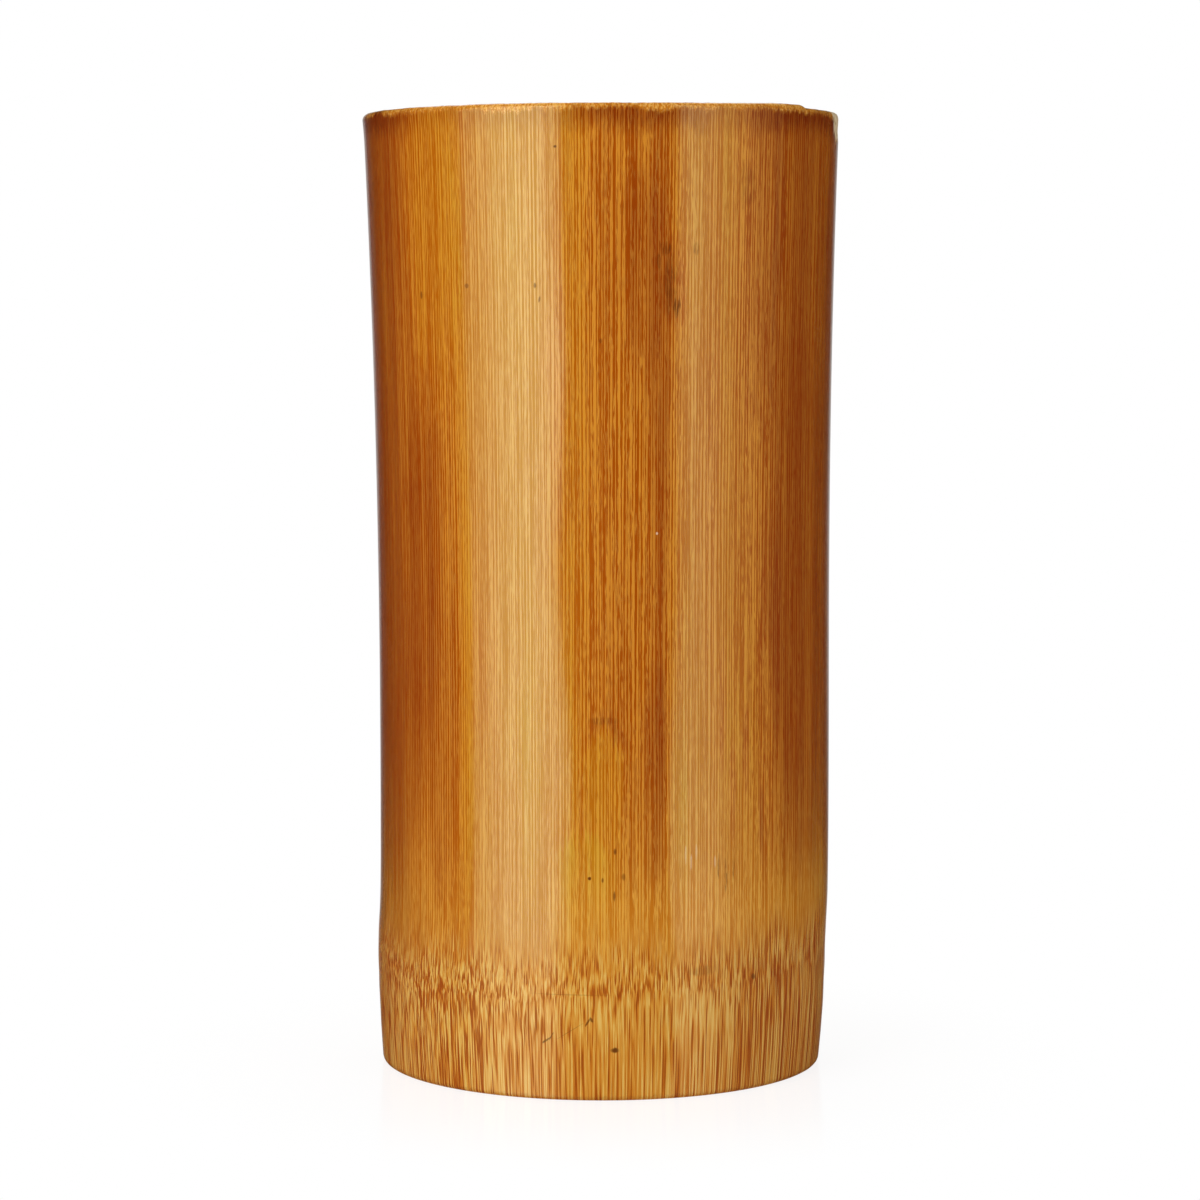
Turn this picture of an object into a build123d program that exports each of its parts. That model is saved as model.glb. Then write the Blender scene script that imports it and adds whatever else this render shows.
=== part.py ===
from build123d import *

import os

# A drinking cup cut from one length of bamboo culm, sawn off a little below a node, so that the
# node's own diaphragm is the floor. It is a body of revolution about +Z, with its origin at the
# centre of the foot, on the table. Every piece is a section in the XZ half-plane, turned once
# round the axis. All sizes are in millimetres.

# Outside form, from the table up
HEIGHT = 110.0
FOOT_DIAMETER = 51.2
BARREL_DIAMETER = 52.5
MOUTH_DIAMETER = 55.0
NODE_HEIGHT = 15.0  # the foot's taper ends here
WAIST_HEIGHT = 46.0  # the mouth's flare begins here

# Whole wall, skin and lining included
FOOT_WALL = 5.6
BARREL_WALL = 5.2
MOUTH_WALL = 4.2

# Layers of the wall
SKIN_THICKNESS = 0.4
LINING_THICKNESS = 0.6

# Foot, ledge and floor, each measured from the one below it
FOOT_RING_HEIGHT = 5.0
LEDGE_HEIGHT = 3.5
LEDGE_WIDTH = 2.4  # the diaphragm rests on this much of the node ring
DIAPHRAGM_THICKNESS = 4.5
DISH_RISE = 0.5  # the floor is lowest in the middle
EDGE_RISE = 1.7  # the diaphragm climbs the wall this far above the dish
FLOOR_ROUND = 6.0

# Sawn edges
RIM_ROUND = 1.1
RIM_INNER_ROUND = 0.4
FOOT_ROUND = 0.6

# Heights and radii that follow from the sizes above
FOOT_RADIUS = FOOT_DIAMETER / 2
BARREL_RADIUS = BARREL_DIAMETER / 2
MOUTH_RADIUS = MOUTH_DIAMETER / 2
BORE_RADIUS = BARREL_RADIUS - BARREL_WALL
MOUTH_BORE_RADIUS = MOUTH_RADIUS - MOUTH_WALL
LEDGE_Z = FOOT_RING_HEIGHT + LEDGE_HEIGHT
FLOOR_Z = LEDGE_Z + DIAPHRAGM_THICKNESS
DISH_EDGE_Z = FLOOR_Z + DISH_RISE
DIAPHRAGM_TOP_Z = DISH_EDGE_Z + EDGE_RISE


def sweep_out(radius, z, end_radius, end_z):
    """A parabola that leaves the straight barrel smoothly and ends at another radius."""
    return Bezier((radius, z), (radius, (z + end_z) / 2), (end_radius, end_z))


def flared_line(barrel_radius, mouth_radius, start_z):
    """Straight up from start_z to the waist, then out to the mouth."""
    straight = Line((barrel_radius, start_z), (barrel_radius, WAIST_HEIGHT))
    return [straight, sweep_out(barrel_radius, WAIST_HEIGHT, mouth_radius, HEIGHT)]


def closed_to_axis(line, bottom_radius, top_radius):
    """The face between the axis and a line that runs from the table to the mouth."""
    ends = Polyline((top_radius, HEIGHT), (0, HEIGHT), (0, 0), (bottom_radius, 0))
    return make_face([*line, ends])


def plug(inset):
    """Everything inside the outside form moved in by inset."""
    foot = FOOT_RADIUS - inset
    barrel = BARREL_RADIUS - inset
    mouth = MOUTH_RADIUS - inset
    taper = sweep_out(barrel, NODE_HEIGHT, foot, 0)
    return closed_to_axis([taper, *flared_line(barrel, mouth, NODE_HEIGHT)], foot, mouth)


def bore(growth):
    """Everything inside the inner face of the wall moved out by growth."""
    barrel = BORE_RADIUS + growth
    mouth = MOUTH_BORE_RADIUS + growth
    return closed_to_axis(flared_line(barrel, mouth, 0), barrel, mouth)


def band(low_z, high_z):
    """All of the cup between two heights."""
    radius = max(FOOT_RADIUS, BARREL_RADIUS, MOUTH_RADIUS)
    height = high_z - low_z
    return Pos(radius / 2, low_z + height / 2) * Rectangle(radius, height)


def below_dish():
    """What lies under the top of the floor, on both sides of the axis."""
    edge = (BORE_RADIUS, DISH_EDGE_Z)
    other_edge = (-BORE_RADIUS, DISH_EDGE_Z)
    dish = ThreePointArc(other_edge, (0, FLOOR_Z), edge)
    return make_face([dish, Polyline(edge, (BORE_RADIUS, 0), (-BORE_RADIUS, 0), other_edge)])


def rounded(section, radius, height, size):
    """The section with its corner nearest to a radius and a height rounded off."""
    corner = section.vertices().sort_by_distance((radius, height))[0]
    return fillet(corner, size)


def whole_cup():
    """The section of the whole culm, with its floor's corner and its sawn edges rounded."""
    hollow = rounded(bore(0) - below_dish(), BORE_RADIUS, DISH_EDGE_Z, FLOOR_ROUND)
    recess = plug(FOOT_WALL) & band(0, LEDGE_Z)
    cup = plug(0) - hollow - recess
    cup = rounded(cup, MOUTH_RADIUS, HEIGHT, RIM_ROUND)
    cup = rounded(cup, MOUTH_BORE_RADIUS, HEIGHT, RIM_INNER_ROUND)
    cup = rounded(cup, FOOT_RADIUS, 0, FOOT_ROUND)
    return rounded(cup, FOOT_RADIUS - FOOT_WALL, 0, FOOT_ROUND)


def sections():
    """Each piece of the culm by name, parted where its grain, hardness or colour changes."""
    cup = whole_cup()
    core = cup & plug(SKIN_THICKNESS)
    upper = core & band(DIAPHRAGM_TOP_Z, HEIGHT)
    lined_bore = bore(LINING_THICKNESS)
    seat = plug(FOOT_WALL - LEDGE_WIDTH) & band(LEDGE_Z, DIAPHRAGM_TOP_Z)
    return {
        "lacquered_skin": cup - plug(SKIN_THICKNESS),
        "culm_wall": upper - lined_bore,
        "inner_lining": upper & lined_bore,
        "floor_diaphragm": core & seat,
        "node_ring": (core & band(FOOT_RING_HEIGHT, DIAPHRAGM_TOP_Z)) - seat,
        "foot_ring": core & band(0, FOOT_RING_HEIGHT),
    }


def main():
    """Turn each section round the axis and write it to its own file."""
    os.makedirs("parts", exist_ok=True)
    for name, section in sections().items():
        piece = revolve(Plane.XZ * section, axis=Axis.Z)
        piece.label = name
        export_step(piece, f"parts/{name}.step")


main()
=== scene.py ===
import logging
import math
from collections.abc import Callable, Mapping, Sequence
from dataclasses import dataclass
from enum import Enum

import bmesh
import bpy
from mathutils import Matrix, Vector, noise


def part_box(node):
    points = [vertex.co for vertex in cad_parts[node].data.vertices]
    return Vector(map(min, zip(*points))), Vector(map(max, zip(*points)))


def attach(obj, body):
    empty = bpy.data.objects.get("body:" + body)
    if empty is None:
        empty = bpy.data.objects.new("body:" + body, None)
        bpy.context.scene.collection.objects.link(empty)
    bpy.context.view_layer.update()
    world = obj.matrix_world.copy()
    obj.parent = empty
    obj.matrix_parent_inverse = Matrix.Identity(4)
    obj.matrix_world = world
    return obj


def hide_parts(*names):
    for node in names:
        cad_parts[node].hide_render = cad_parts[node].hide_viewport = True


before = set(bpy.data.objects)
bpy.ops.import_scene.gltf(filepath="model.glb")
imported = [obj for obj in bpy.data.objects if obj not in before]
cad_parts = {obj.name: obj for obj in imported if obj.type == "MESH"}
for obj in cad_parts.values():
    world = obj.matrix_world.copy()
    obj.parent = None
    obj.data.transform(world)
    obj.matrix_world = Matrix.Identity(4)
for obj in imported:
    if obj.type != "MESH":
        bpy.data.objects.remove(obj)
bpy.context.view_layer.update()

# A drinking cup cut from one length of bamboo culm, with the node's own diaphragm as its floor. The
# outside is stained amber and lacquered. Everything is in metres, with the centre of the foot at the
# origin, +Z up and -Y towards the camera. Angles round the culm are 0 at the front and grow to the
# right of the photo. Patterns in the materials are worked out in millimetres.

MM = 0.001
MM_PER_METRE = 1000.0
Colour = tuple[float, float, float]
Point = tuple[float, float]
Stops = tuple[tuple[float, Colour], ...]
Line = Callable[[float], Point]
Socket = bpy.types.NodeSocket

# Sizes that the patterns are set out on, in millimetres
OUTSIDE_RADIUS = 26.5
INSIDE_RADIUS = 22.0
RIM_HEIGHT = 110.0

log = logging.getLogger("bamboo_cup")


def smooth_step(value: float, low: float, high: float) -> float:
    """Rise smoothly from 0 at low to 1 at high.

    Args:
        value: The number to place between the two.
        low: Where the rise starts.
        high: Where the rise ends; below low, the step falls instead.

    Returns:
        A share from 0 to 1.
    """
    share = min(max((value - low) / (high - low), 0.0), 1.0)
    return share * share * (3.0 - 2.0 * share)


def grey(level: float) -> tuple[float, float, float, float]:
    """A grey of one level, as a colour socket takes it."""
    return (level, level, level, 1.0)


def angle_of(place: Vector) -> float:
    """The angle of a place round the culm, 0 at the front and growing to the right."""
    return math.atan2(place.x, -place.y)


def turned_to(angle: float, radius: float, height: float) -> Vector:
    """The place at an angle round the culm, a radius and a height."""
    return Vector((radius * math.sin(angle), -radius * math.cos(angle), height))


def grain_noise(place: Vector, across: float, along: float, seed: float = 0.0) -> float:
    """Noise that is stretched along the culm.

    Args:
        place: Where to read it.
        across: The size of its lumps round the culm.
        along: The size of its lumps up the culm.
        seed: Moves it to another part of the noise.

    Returns:
        A number from about -1 to 1.
    """
    spot = Vector((place.x / across + seed, place.y / across - seed, place.z / along + seed))
    return noise.noise(spot)


class Field:
    """A value socket that Python's operators turn into Math nodes."""

    def __init__(self, graph: "Graph", socket: Socket) -> None:
        """Hold one value socket of a graph."""
        self.graph = graph
        self.socket = socket

    def maths(self, operation: str, *values: "Field | float") -> "Field":
        """Feed values to a Math node.

        Args:
            operation: The Math node's operation.
            values: Its inputs in order.

        Returns:
            The node's result.
        """
        made = self.graph.node("ShaderNodeMath", {"operation": operation}, dict(enumerate(values)))
        return Field(self.graph, made.outputs[0])

    def __add__(self, other: "Field | float") -> "Field":
        """The sum."""
        return self.maths("ADD", self, other)

    def __radd__(self, other: float) -> "Field":
        """The sum, with a number first."""
        return self.maths("ADD", other, self)

    def __sub__(self, other: "Field | float") -> "Field":
        """The difference."""
        return self.maths("SUBTRACT", self, other)

    def __rsub__(self, other: float) -> "Field":
        """The difference, with a number first."""
        return self.maths("SUBTRACT", other, self)

    def __mul__(self, other: "Field | float") -> "Field":
        """The product."""
        return self.maths("MULTIPLY", self, other)

    def __rmul__(self, other: float) -> "Field":
        """The product, with a number first."""
        return self.maths("MULTIPLY", other, self)

    def __truediv__(self, other: "Field | float") -> "Field":
        """The quotient."""
        return self.maths("DIVIDE", self, other)

    def __neg__(self) -> "Field":
        """The value with its sign turned."""
        return self.maths("MULTIPLY", self, -1.0)

    def root(self) -> "Field":
        """The square root."""
        return self.maths("SQRT", self)

    def sine(self) -> "Field":
        """The sine of an angle in radians."""
        return self.maths("SINE", self)

    def exponent(self) -> "Field":
        """The number e to this power."""
        return self.maths("EXPONENT", self)

    def most(self, other: "Field | float") -> "Field":
        """The larger of two values."""
        return self.maths("MAXIMUM", self, other)

    def step(self, low: "Field | float", high: "Field | float") -> "Field":
        """Rise smoothly from 0 at low to 1 at high, or fall where high is below low.

        Args:
            low: Where the rise starts.
            high: Where it ends.

        Returns:
            A share from 0 to 1.
        """
        sockets = {"Value": self, "From Min": low, "From Max": high}
        made = self.graph.node("ShaderNodeMapRange", {"interpolation_type": "SMOOTHSTEP"}, sockets)
        return Field(self.graph, made.outputs[0])


class Graph:
    """The nodes of one material or world."""

    def __init__(self, tree: bpy.types.NodeTree) -> None:
        """Start with an empty tree."""
        self.tree = tree
        tree.nodes.clear()

    def node(
        self,
        kind: str,
        settings: Mapping[str, object] | None = None,
        sockets: Mapping[int | str, object] | None = None,
    ) -> bpy.types.Node:
        """Make one node.

        Args:
            kind: The node's type.
            settings: Its own properties, and stops for a ramp, set before its sockets.
            sockets: A value, a socket or a field for each input that is set.

        Returns:
            The node.
        """
        made = self.tree.nodes.new(kind)
        for name, setting in (settings or {}).items():
            if name == "stops":
                self._set_stops(made.color_ramp, setting)
            else:
                setattr(made, name, setting)
        for key, value in (sockets or {}).items():
            if isinstance(value, Field):
                value = value.socket
            if isinstance(value, Socket):
                self.tree.links.new(value, made.inputs[key])
            else:
                made.inputs[key].default_value = value
        return made

    def _set_stops(self, ramp: bpy.types.ColorRamp, stops: Stops) -> None:
        """Give a ramp its stops.

        Args:
            ramp: The ramp, which starts with two stops.
            stops: Places from 0 to 1 with their colours, in order.
        """
        for index, (place, colour) in enumerate(stops):
            if index < 2:
                element = ramp.elements[index]
                element.position = place
            else:
                element = ramp.elements.new(place)
            element.color = (*colour, 1.0)

    def vector(self, x: Field | float, y: Field | float, z: Field | float) -> Socket:
        """A vector put together from three values."""
        return self.node("ShaderNodeCombineXYZ", None, {0: x, 1: y, 2: z}).outputs[0]

    def noise(self, place: Socket, detail: float = 2.0, roughness: float = 0.5) -> Field:
        """Noise with lumps of size 1.

        Args:
            place: Where it is read.
            detail: How many finer layers it has.
            roughness: How strong they are.

        Returns:
            A value from 0 to 1.
        """
        sockets = {"Vector": place, "Scale": 1.0, "Detail": detail, "Roughness": roughness}
        return Field(self, self.node("ShaderNodeTexNoise", None, sockets).outputs[0])

    def cells(self, place: Socket) -> Field:
        """The distance to the nearest of many scattered points, about 1 apart."""
        sockets = {"Vector": place, "Scale": 1.0, "Randomness": 0.9}
        return Field(self, self.node("ShaderNodeTexVoronoi", None, sockets).outputs[0])

    def ramp(self, share: Field, stops: Stops) -> Socket:
        """A colour that follows a value from 0 to 1."""
        return self.node("ShaderNodeValToRGB", {"stops": stops}, {0: share}).outputs[0]

    def level(self, share: Field, stops: Sequence[Point]) -> Field:
        """A value that follows another one from 0 to 1."""
        greys = tuple((place, (level, level, level)) for place, level in stops)
        return Field(self, self.ramp(share, greys))

    def blend(
        self,
        share: Field | float,
        first: Socket | Colour,
        second: Socket | Colour,
        mode: str = "MIX",
    ) -> Socket:
        """Mix two colours.

        Args:
            share: How much of the second shows.
            first: A colour or a socket.
            second: A colour or a socket.
            mode: The Mix node's way of mixing.

        Returns:
            The mixed colour.
        """
        first = first if isinstance(first, Socket) else (*first, 1.0)
        second = second if isinstance(second, Socket) else (*second, 1.0)
        settings = {"data_type": "RGBA", "blend_type": mode}
        return self.node("ShaderNodeMix", settings, {0: share, 6: first, 7: second}).outputs[2]

    def bump(self, height: Field, depth: float) -> Socket:
        """A normal for fine relief from 0 to 1, where 1 stands for a depth in metres."""
        sockets = {"Strength": 1.0, "Distance": depth, "Height": height}
        return self.node("ShaderNodeBump", None, sockets).outputs[0]

    def shader(self, kind: str, sockets: Mapping[int | str, object] | None = None) -> Socket:
        """The shader that a node without settings gives."""
        return self.node(f"ShaderNode{kind}", None, sockets).outputs[0]

    def both(self, first: Socket, second: Socket) -> Socket:
        """Two shaders added."""
        return self.shader("AddShader", {0: first, 1: second})

    def either(self, share: Field | Socket, first: Socket, second: Socket) -> Socket:
        """The first of two shaders where the share is 0, and the second where it is 1."""
        return self.shader("MixShader", {0: share, 1: first, 2: second})


class CulmPlace:
    """Where a point of a material lies on the culm, in millimetres and radians."""

    def __init__(self, graph: Graph, radius: float) -> None:
        """Read the object coordinates.

        Args:
            graph: The material's nodes.
            radius: The radius that ring_x and ring_y are set out on.
        """
        self.graph = graph
        place = graph.node("ShaderNodeTexCoord").outputs["Object"]
        parts = graph.node("ShaderNodeSeparateXYZ", None, {0: place}).outputs
        self.x = Field(graph, parts[0]) * MM_PER_METRE
        self.y = Field(graph, parts[1]) * MM_PER_METRE
        self.z = Field(graph, parts[2]) * MM_PER_METRE
        self.radius = (self.x * self.x + self.y * self.y).root().most(0.01)
        self.angle = self.x.maths("ARCTAN2", self.x, -self.y)
        self.ring_x = self.x / self.radius * radius
        self.ring_y = self.y / self.radius * radius

    def ring_noise(self, across: float, along: float, seed: float = 0.0, detail: float = 2.0) -> Field:
        """Noise on the culm's surface.

        Args:
            across: The size of its lumps round the culm.
            along: The size of its lumps up the culm.
            seed: Moves it to another part of the noise.
            detail: How many finer layers it has.

        Returns:
            A value from 0 to 1.
        """
        spot = self.graph.vector(self.ring_x / across, self.ring_y / across, self.z / along + seed)
        return self.graph.noise(spot, detail)


class CulmGrain:
    """The run of the fibres: straight up the internode, short and swirled at the node."""

    def __init__(self, place: CulmPlace, node_height: float, node_slant: float) -> None:
        """Work out the fibres' own coordinates.

        Args:
            place: Where the point lies on the culm.
            node_height: The height of the node's line at the front.
            node_slant: How much higher it is at the right, and lower at the left.
        """
        self.place = place
        sway = place.ring_noise(12.0, 60.0, 3.0) - 0.5
        self.rise = place.z - (node_height + node_slant * place.angle.sine() + 4.0 * sway)
        above = self.rise.most(0.0)
        below = (-self.rise).most(0.0)
        self.near = ((above + below) / -5.0).exponent()
        over = 6.0 * (1.0 - (above / -6.0).exponent())
        under = 3.6 * (1.0 - (below / -7.0).exponent())
        tightness = 0.70 - 0.40 * place.angle.sine()
        self.along = tightness * (over - under) + place.z / 70.0
        lean = 0.3 * self.near
        self.x = place.ring_x + (place.ring_noise(6.0, 6.0, 21.0, 1.0) - 0.5) * lean
        self.y = place.ring_y + (place.ring_noise(6.0, 6.0, 47.0, 1.0) - 0.5) * lean

    def fibres(self, width: float, stretch: float, seed: float, detail: float = 2.0) -> Field:
        """Noise drawn out along the fibres.

        Args:
            width: How wide a fibre is.
            stretch: How short the fibres are; 1 is the usual length.
            seed: Moves it to another part of the noise.
            detail: How many finer layers it has.

        Returns:
            A value from 0 to 1.
        """
        graph = self.place.graph
        spot = graph.vector(self.x / width, self.y / width, self.along * stretch + seed)
        return graph.noise(spot, detail, 0.55)


class Finish:
    """What all the finishes share: a material with one Principled shader."""

    slot = ""

    def material(self) -> bpy.types.Material:
        """Make the material.

        Returns:
            The material, with its nodes linked.
        """
        made = bpy.data.materials.new(self.slot)
        made.use_nodes = True
        graph = Graph(made.node_tree)
        shown = graph.shader("BsdfPrincipled", self.sockets(graph))
        graph.node("ShaderNodeOutputMaterial", None, {0: shown})
        return made

    def sockets(self, graph: Graph) -> dict[str, object]:
        """The shader's inputs, by name."""
        raise NotImplementedError


@dataclass(frozen=True)
class Mark:
    """A stain, tongue, smudge, pit or scratch in the lacquered skin, or a patch of painted highlight in
    its stain, as a soft ellipse.

    The angle is in degrees round the culm, and the other sizes are in millimetres. The strength is how
    much it changes what it lies on. The slope is how far it climbs for each millimetre to the right.
    """

    angle: float
    height: float
    half_width: float
    half_height: float
    strength: float = 1.0
    slope: float = 0.0


# Where the stain is stronger, or weaker below 0. The patches at -45, -31, -10, -8.5 and 18 degrees are
# painted highlight: they move the stain's pale edges onto the edges of the softboxes' highlights as the
# camera sees them.
STAINS_AND_PAINTED_HIGHLIGHTS = (
    Mark(-45.0, 99.0, 4.6, 22.0, -0.32),
    Mark(-53.0, 55.0, 3.0, 24.0, 0.08),
    Mark(-31.0, 26.0, 2.0, 16.0, -0.10),
    Mark(-10.0, 80.0, 1.4, 26.0, 0.14),
    Mark(-8.5, 34.0, 1.2, 17.0, -0.12),
    Mark(9.0, 92.0, 3.0, 14.0, 0.12),
    Mark(12.0, 36.0, 2.0, 14.0, 0.14),
    Mark(17.0, 90.0, 1.6, 5.5, 0.16),
    Mark(18.0, 28.0, 1.5, 20.0, -0.24),
    Mark(33.0, 34.0, 0.5, 6.0, 0.26),
    Mark(30.0, 44.0, 0.5, 8.0, 0.18),
    Mark(37.0, 38.0, 0.5, 6.0, 0.22),
    Mark(39.0, 94.0, 4.0, 22.0, 0.16),
    Mark(39.0, 36.0, 4.0, 20.0, -0.16),
    Mark(42.0, 30.0, 0.5, 5.0, 0.26),
)

# Golden tongues that rise from the node into the stain
TONGUES = (
    Mark(0.5, 37.0, 2.0, 4.6, 0.30),
    Mark(-4.5, 26.0, 3.0, 4.0, 0.22),
)

# Where the fibres of the node are lighter, or darker below 0
NODE_PATCHES = (
    Mark(-44.0, 10.4, 5.6, 2.0, -0.34),
    Mark(-66.0, 11.0, 3.5, 3.5, -0.14),
    Mark(-50.0, 14.0, 7.0, 1.6, 0.14),
    Mark(-24.0, 8.6, 4.5, 1.5, -0.10),
    Mark(46.0, 11.0, 5.0, 4.5, -0.16),
    Mark(22.0, 10.0, 6.0, 3.0, 0.05),
)

# Broken dark smudges
SMUDGES = (
    Mark(14.6, 94.0, 0.75, 0.75, 1.00),
    Mark(13.0, 92.6, 0.35, 0.9, 0.80),
    Mark(16.0, 90.0, 0.8, 3.6, 0.70),
    Mark(17.4, 87.8, 0.50, 1.3, 1.00),
    Mark(22.2, 94.0, 0.40, 0.7, 0.50),
    Mark(0.2, 42.4, 1.8, 0.45, 0.55),
    Mark(2.8, 40.8, 0.35, 1.5, 0.40, -1.2),
    Mark(29.2, 25.8, 0.20, 1.4, 0.60),
    Mark(31.2, 24.8, 0.24, 2.0, 0.70),
    Mark(33.4, 25.4, 0.20, 1.3, 0.60),
    Mark(25.0, 14.3, 1.8, 0.6, 0.40),
    Mark(36.0, 101.0, 1.2, 2.4, 0.30),
)

# Pits, specks and scratches
PITS = (
    Mark(-49.0, 89.0, 0.22, 0.45, 0.70),
    Mark(-34.0, 90.0, 0.28, 0.26, 0.60),
    Mark(-16.0, 90.0, 0.18, 0.30, 0.70),
    Mark(-11.0, 105.0, 0.20, 0.18, 1.00),
    Mark(-15.0, 88.5, 0.14, 0.35, 0.75, 1.2),
    Mark(-0.5, 84.0, 0.18, 0.28, 0.60),
    Mark(-3.2, 25.0, 0.20, 0.20, 1.00),
    Mark(0.0, 24.8, 0.14, 0.30, 0.80),
    Mark(3.0, 28.0, 0.18, 0.40, 0.80),
    Mark(5.0, 25.2, 0.26, 0.45, 0.60),
    Mark(2.8, 23.0, 0.16, 0.60, 0.75),
    Mark(3.0, 5.8, 0.50, 0.30, 1.00),
    Mark(40.0, 13.0, 0.40, 0.35, 0.75),
    Mark(-13.9, 6.8, 0.55, 0.16, 0.85, 0.62),
    Mark(-12.6, 7.3, 0.30, 0.14, 0.85, 1.6),
    Mark(-8.0, 7.9, 1.5, 0.06, 0.50, 0.62),
    Mark(-3.7, 8.9, 0.30, 0.22, 0.90, 1.4),
    Mark(-2.7, 9.2, 0.22, 0.24, 0.85, -0.8),
    Mark(-8.0, 12.0, 4.6, 0.06, 0.35),
)

# Pale scuffs
PALE_MARKS = (
    Mark(13.0, 63.0, 0.14, 0.16, 0.90),
    Mark(20.4, 27.4, 0.12, 1.0, 0.30),
    Mark(21.8, 26.6, 0.12, 0.9, 0.34),
    Mark(23.2, 27.6, 0.12, 0.9, 0.28),
    Mark(28.2, 26.4, 0.12, 0.8, 0.28),
)


@dataclass(frozen=True)
class LacqueredBamboo(Finish):
    """Shaved bamboo under an amber stain and clear lacquer, with swirled fibres at the node, and with
    painted highlight and painted shade in its colour.
    """

    slot = "lacquered_bamboo"
    radius: float = OUTSIDE_RADIUS
    height: float = RIM_HEIGHT
    node_height: float = 11.6
    node_slant: float = 1.2
    lines: int = 430
    pins: int = 164
    # The stain round the culm, partly real stain and partly painted light. It is painted highlight where
    # it is paler, at about -22 and 20 to 29 degrees, under the softboxes' highlights as the camera sees
    # them. It is painted shade where it is darker towards the sides, at about -78 to -50 and 49 to 72
    # degrees.
    stains_and_painted_light: tuple[Point, ...] = (
        (-180, 0.58), (-150, 0.66), (-118, 0.52), (-95, 0.76), (-78, 1.05), (-62, 1.02), (-50, 0.90),
        (-41, 0.74), (-34, 0.46), (-22, 0.30), (-12, 0.34), (-7, 0.54), (-3, 0.68), (6, 0.80), (15, 0.82),
        (20, 0.46), (29, 0.48), (40, 0.80), (49, 0.95), (72, 0.94), (98, 0.72), (125, 0.52),
        (152, 0.66), (180, 0.58),
    )
    # The lines are weaker at about -28 to -13 and 22 degrees, in this table and in the low one below. That
    # is where the softboxes' highlights fall as the camera sees them, so this is painted highlight that
    # washes the lines out.
    line_strengths: tuple[Point, ...] = (
        (-180, 1.4), (-120, 1.5), (-72, 0.90), (-48, 0.90), (-36, 1.10), (-28, 0.80), (-13, 0.80),
        (-5, 1.6), (6, 3.2), (17, 3.8), (22, 1.0), (32, 1.5), (40, 2.6), (70, 2.6), (120, 1.5), (180, 1.4),
    )
    low_line_strengths: tuple[Point, ...] = (
        (-180, 1.5), (-90, 1.6), (-60, 1.9), (-40, 1.8), (-28, 0.70), (-13, 0.70), (-5, 1.8), (17, 2.2),
        (22, 1.0), (32, 1.3), (45, 1.9), (75, 1.9), (120, 1.5), (180, 1.5),
    )
    goldens: tuple[Point, ...] = (
        (-180, 0.8), (-80, 0.5), (-45, 0.6), (-33, 0.3), (-14, 0.3), (-6, 1.0), (70, 1.0), (180, 0.8),
    )
    node_contrasts: tuple[Point, ...] = (
        (-180, 1.0), (-120, 1.3), (-60, 2.1), (-38, 1.9), (-24, 0.70), (-10, 0.76), (8, 0.76), (22, 0.82),
        (44, 1.7), (80, 1.7), (120, 1.1), (180, 0.9),
    )
    # Painted shade at the node and in the foot: the wood is darkened by angle, most at the sides and back
    # of the culm, and least at the front that faces the camera and lamps.
    painted_node_shades: tuple[Point, ...] = (
        (-180, 0.40), (-110, 0.50), (-74, 0.45), (-55, 0.18), (-38, 0.05), (-20, 0.0), (24, 0.05),
        (36, 0.30), (50, 0.26), (75, 0.32), (120, 0.40), (180, 0.40),
    )
    scorches: tuple[Point, ...] = (
        (-180, 0.5), (-110, 0.8), (-72, 1.0), (-58, 0.80), (-44, 0.35), (-12, 0.30), (-3, 0.95),
        (18, 0.90), (30, 0.35), (44, 0.95), (80, 1.0), (130, 0.4), (180, 0.5),
    )
    rim_wears: tuple[Point, ...] = (
        (-180, 0.1), (-90, 0.15), (-60, 0.20), (-40, 0.15), (-20, 0.0), (15, 0.0), (35, 0.30), (53, 0.40),
        (58, 0.10), (90, 0.10), (180, 0.1),
    )
    dark_wood: Stops = (
        (0.0, (0.56, 0.265, 0.018)),
        (0.1, (0.52, 0.225, 0.008)),
        (0.25, (0.49, 0.168, 0.004)),
        (0.5, (0.45, 0.115, 0.002)),
        (0.75, (0.385, 0.074, 0.001)),
        (0.9, (0.34, 0.058, 0.001)),
        (1.0, (0.29, 0.042, 0.001)),
    )
    light_wood: Stops = (
        (0.0, (0.64, 0.370, 0.040)),
        (0.1, (0.61, 0.335, 0.020)),
        (0.25, (0.65, 0.305, 0.020)),
        (0.5, (0.66, 0.268, 0.017)),
        (0.75, (0.67, 0.252, 0.020)),
        (0.9, (0.54, 0.178, 0.015)),
        (1.0, (0.42, 0.118, 0.010)),
    )
    node_wood: Stops = (
        (0.0, (0.35, 0.060, 0.002)),
        (0.25, (0.49, 0.118, 0.005)),
        (0.5, (0.62, 0.230, 0.020)),
        (0.75, (0.70, 0.335, 0.050)),
        (1.0, (0.76, 0.460, 0.110)),
    )
    painted_node_shade: Colour = (0.80, 0.56, 0.42)
    golden_wood: tuple[Colour, Colour] = ((0.57, 0.190, 0.010), (0.77, 0.370, 0.050))
    scorched: Colour = (0.58, 0.38, 0.32)
    edge_wood: Colour = (0.86, 0.32, 0.013)
    rim_wood: tuple[Colour, Colour] = ((0.46, 0.120, 0.005), (0.95, 0.57, 0.15))
    foot_edge_dark: Colour = (0.50, 0.36, 0.30)
    mark_dark: Colour = (0.16, 0.034, 0.003)
    lacquer: Colour = (0.70, 1.0, 0.30)
    chipped_wood: tuple[Colour, Colour] = ((0.44, 0.260, 0.100), (0.78, 0.620, 0.410))
    chip_angle: float = 81.0
    chip_half_width: float = 4.4
    chip_depth: float = 3.2
    mark_pale: Colour = (0.88, 0.70, 0.47)
    plain_gloss: float = 0.25
    line_gloss: float = 0.66
    node_gloss: float = 0.42
    roughness: float = 0.11
    relief: float = 0.022 * MM

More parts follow.
